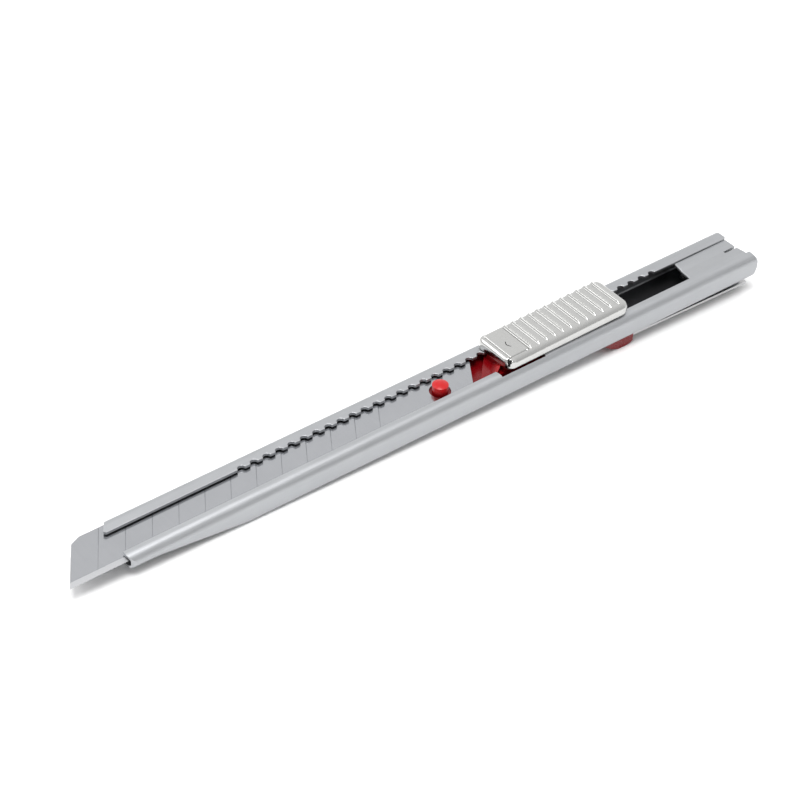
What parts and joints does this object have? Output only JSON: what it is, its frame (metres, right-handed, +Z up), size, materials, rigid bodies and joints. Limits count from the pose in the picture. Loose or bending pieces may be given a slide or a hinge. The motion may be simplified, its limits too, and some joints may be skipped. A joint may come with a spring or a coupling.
{
  "type": "utility knife",
  "caption": "Slim snap-off utility knife: folded steel holder, scored blade, ribbed auto-lock slider on a plastic carriage, and a pocket clip.",
  "frame": {"origin": "centre of the footprint, level with the lowest point of the pocket clip's shoe", "axes": "+X from the blade's tip to the holder's rear, +Y across the holder from the cutting edge to the blade's spine, +Z up through the slider"},
  "size_m": [0.1464, 0.0104, 0.0097],
  "materials": {
    "holder_steel": "satin stainless steel sheet",
    "blade_steel": "ground carbon steel with a polished bevel",
    "cap_plating": "satin nickel-chrome plating",
    "carriage_plastic": "glossy red moulded plastic",
    "spring_steel": "rolled spring steel",
    "pin_steel": "turned steel"
  },
  "bodies": {
    "holder": {"holder": "holder_steel", "clip_rivet_front": "pin_steel", "clip_rivet_rear": "pin_steel"},
    "slider": {"carriage": "carriage_plastic", "blade": "blade_steel", "hinge_pin": "pin_steel", "lock_spring": "spring_steel", "spring_rivet_front": "pin_steel", "spring_rivet_rear": "pin_steel"},
    "cap": {"slider_cap": "cap_plating"},
    "clip": {"pocket_clip": "spring_steel", "clip_shoe": "carriage_plastic"}
  },
  "joints": [
    {"name": "blade_slide", "type": "slide", "parent": "holder", "child": "slider", "axis": [-1, 0, 0], "range_m": [-0.015, 0.05]},
    {"name": "cap_press", "type": "hinge", "parent": "slider", "child": "cap", "pos_m": [0.01765, 0, 0.0075], "axis": [0, 1, 0], "range_deg": [0, 1], "stiffness_Nm_per_rad": 0.6, "springref_deg": -1.15, "deforming": ["lock_spring"]},
    {"name": "clip_flex", "type": "hinge", "parent": "holder", "child": "clip", "pos_m": [0.07225, 0, 0.0005], "axis": [0, -1, 0], "range_deg": [0, 2.5], "stiffness_Nm_per_rad": 0.4, "springref_deg": -1.15, "deforming": ["pocket_clip"]}
  ]
}
